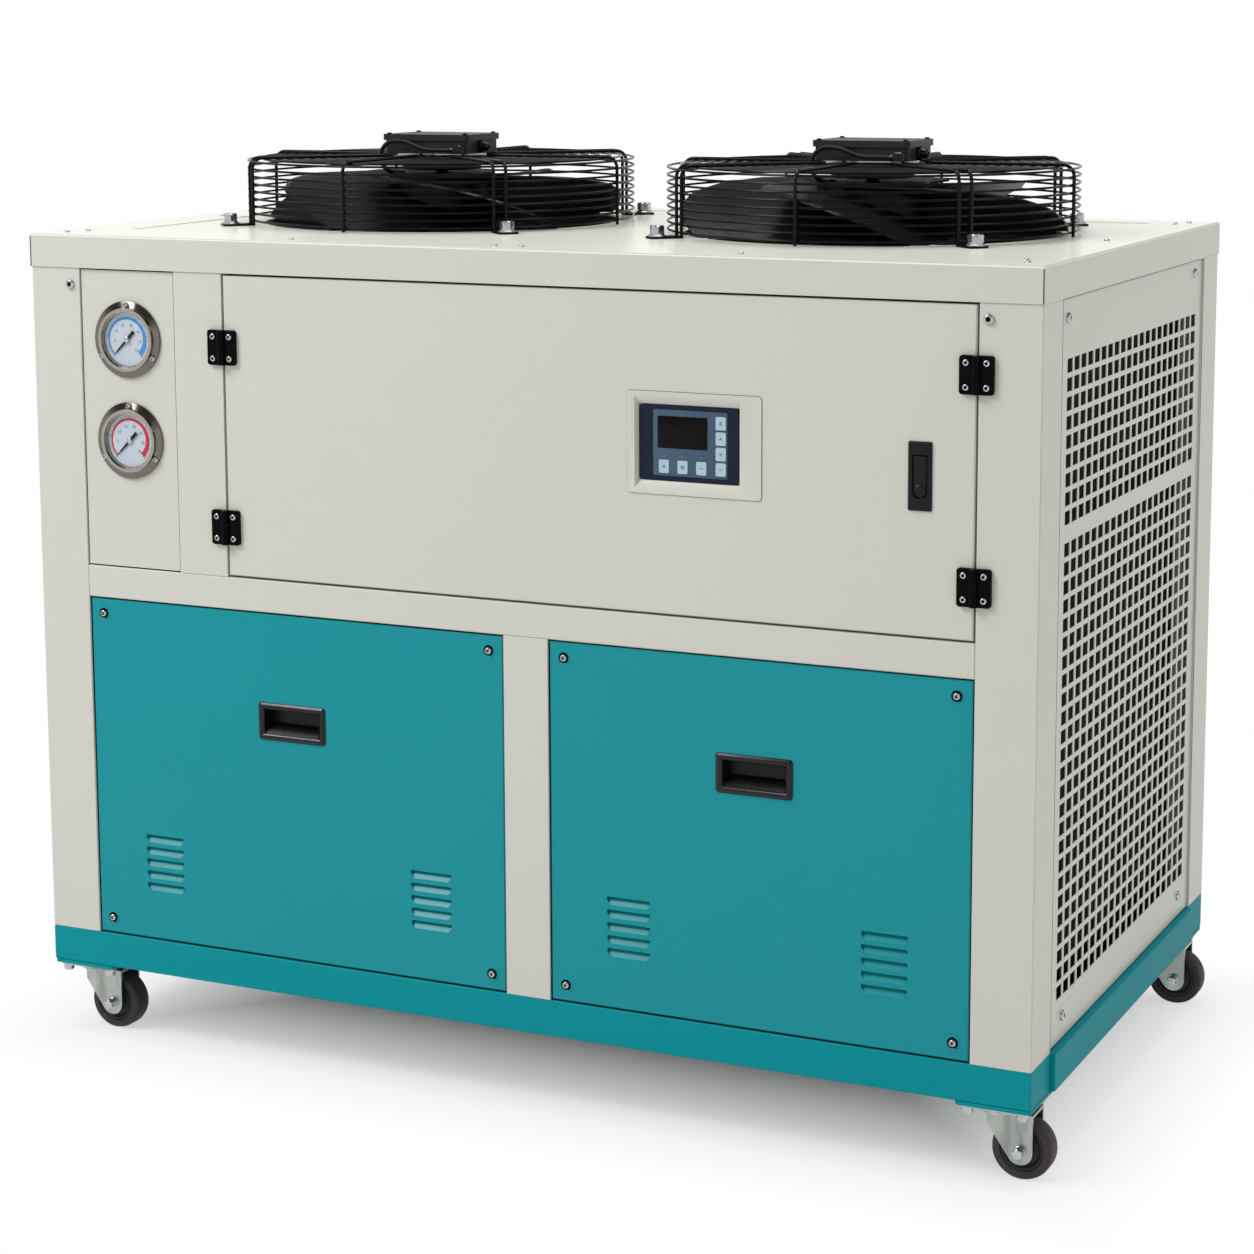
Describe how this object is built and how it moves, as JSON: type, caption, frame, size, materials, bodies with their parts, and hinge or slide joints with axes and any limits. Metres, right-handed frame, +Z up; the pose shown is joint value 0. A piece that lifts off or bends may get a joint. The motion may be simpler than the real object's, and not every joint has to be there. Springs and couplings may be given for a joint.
{
  "type": "air cooled water chiller",
  "caption": "Box cabinet on swivel casters with caged roof fans, perforated sides, teal lower panels, pressure gauges and a hinged control door; cools process water with ambient air.",
  "frame": {"origin": "on the floor under the middle of the cabinet's footprint", "axes": "+X to the right seen from the door, +Y from the door to the rear, +Z up"},
  "size_m": [1.495, 0.873, 1.283],
  "materials": {
    "cream_coat": "satin powder coat",
    "teal_coat": "satin powder coat",
    "grey_coat": "plain grey coat",
    "black_hardware": "satin black",
    "black_steel": "satin black paint",
    "zinc_plate": "bright zinc",
    "chrome": "polished",
    "guard_wire": "black coated wire",
    "dial_white": "printed white",
    "lens_glass": "clear",
    "fin_metal": "finned coil",
    "bezel_plastic": "moulded",
    "controller_navy": "satin",
    "key_grey": "satin",
    "wheel_rubber": "dark rubber"
  },
  "bodies": {
    "cabinet": {"front_left_post": "cream_coat", "front_right_post": "cream_coat", "rear_left_post": "cream_coat", "rear_right_post": "cream_coat", "lid": "cream_coat", "front_middle_rail": "cream_coat", "rear_middle_rail": "cream_coat", "front_centre_post": "cream_coat", "rear_centre_post": "cream_coat", "door_mullion": "cream_coat", "gauge_panel": "cream_coat", "right_side_panel": "cream_coat", "left_side_panel": "cream_coat", "rear_upper_panel": "cream_coat", "front_base_rail": "teal_coat", "rear_base_rail": "teal_coat", "left_base_rail": "teal_coat", "right_base_rail": "teal_coat", "corner_pads": "teal_coat", "left_service_panel": "teal_coat", "right_service_panel": "teal_coat", "rear_left_panel": "teal_coat", "rear_right_panel": "teal_coat", "caster_plates": "zinc_plate", "water_ports": "zinc_plate", "left_pull_handle": "black_hardware", "right_pull_handle": "black_hardware", "terminal_boxes": "black_hardware", "gauge_needles": "black_hardware", "frame_hinge_leaves": "black_steel", "fan_motors": "black_steel", "floor_pan": "grey_coat", "control_box": "grey_coat", "gauge_cases": "chrome", "gauge_dials": "dial_white", "gauge_lenses": "lens_glass", "condenser_coils": "fin_metal", "left_fan_guard": "guard_wire", "right_fan_guard": "guard_wire"},
    "control_door": {"control_door": "cream_coat", "door_returns": "cream_coat", "door_hinge_leaves": "black_steel", "control_bezel": "bezel_plastic", "controller": "controller_navy", "controller_keys": "key_grey", "latch_frame": "black_steel"},
    "latch_lever": {"latch_lever": "black_steel"},
    "left_fan": {"left_fan_rotor": "black_steel"},
    "right_fan": {"right_fan_rotor": "black_steel"},
    "front_left_caster": {"front_left_fork": "zinc_plate"},
    "front_left_roller": {"front_left_wheel": "wheel_rubber"},
    "front_right_caster": {"front_right_fork": "zinc_plate"},
    "front_right_roller": {"front_right_wheel": "wheel_rubber"},
    "rear_left_caster": {"rear_left_fork": "zinc_plate"},
    "rear_left_roller": {"rear_left_wheel": "wheel_rubber"},
    "rear_right_caster": {"rear_right_fork": "zinc_plate"},
    "rear_right_roller": {"rear_right_wheel": "wheel_rubber"}
  },
  "joints": [
    {"name": "door_swing", "type": "hinge", "parent": "cabinet", "child": "control_door", "pos_m": [-0.4215, -0.4255, 0.9015], "axis": [0, 0, -1], "range_deg": [0, 110]},
    {"name": "latch_flip", "type": "hinge", "parent": "control_door", "child": "latch_lever", "pos_m": [0.582, -0.42, 0.921], "axis": [-1, 0, 0], "range_deg": [0, 40]},
    {"name": "left_fan_spin", "type": "hinge", "parent": "cabinet", "child": "left_fan", "pos_m": [-0.34, 0.055, 1.18], "axis": [0, 0, 1], "continuous": true},
    {"name": "right_fan_spin", "type": "hinge", "parent": "cabinet", "child": "right_fan", "pos_m": [0.34, 0.055, 1.18], "axis": [0, 0, 1], "continuous": true},
    {"name": "front_left_swivel", "type": "hinge", "parent": "cabinet", "child": "front_left_caster", "pos_m": [-0.685, -0.37, 0.09], "axis": [0, 0, 1], "continuous": true},
    {"name": "front_left_roll", "type": "hinge", "parent": "front_left_caster", "child": "front_left_roller", "pos_m": [-0.657, -0.37, 0.04], "axis": [0, 1, 0], "continuous": true},
    {"name": "front_right_swivel", "type": "hinge", "parent": "cabinet", "child": "front_right_caster", "pos_m": [0.685, -0.37, 0.09], "axis": [0, 0, 1], "continuous": true},
    {"name": "front_right_roll", "type": "hinge", "parent": "front_right_caster", "child": "front_right_roller", "pos_m": [0.713, -0.37, 0.04], "axis": [0, 1, 0], "continuous": true},
    {"name": "rear_left_swivel", "type": "hinge", "parent": "cabinet", "child": "rear_left_caster", "pos_m": [-0.685, 0.37, 0.09], "axis": [0, 0, 1], "continuous": true},
    {"name": "rear_left_roll", "type": "hinge", "parent": "rear_left_caster", "child": "rear_left_roller", "pos_m": [-0.657, 0.37, 0.04], "axis": [0, 1, 0], "continuous": true},
    {"name": "rear_right_swivel", "type": "hinge", "parent": "cabinet", "child": "rear_right_caster", "pos_m": [0.685, 0.37, 0.09], "axis": [0, 0, 1], "continuous": true},
    {"name": "rear_right_roll", "type": "hinge", "parent": "rear_right_caster", "child": "rear_right_roller", "pos_m": [0.713, 0.37, 0.04], "axis": [0, 1, 0], "continuous": true}
  ]
}
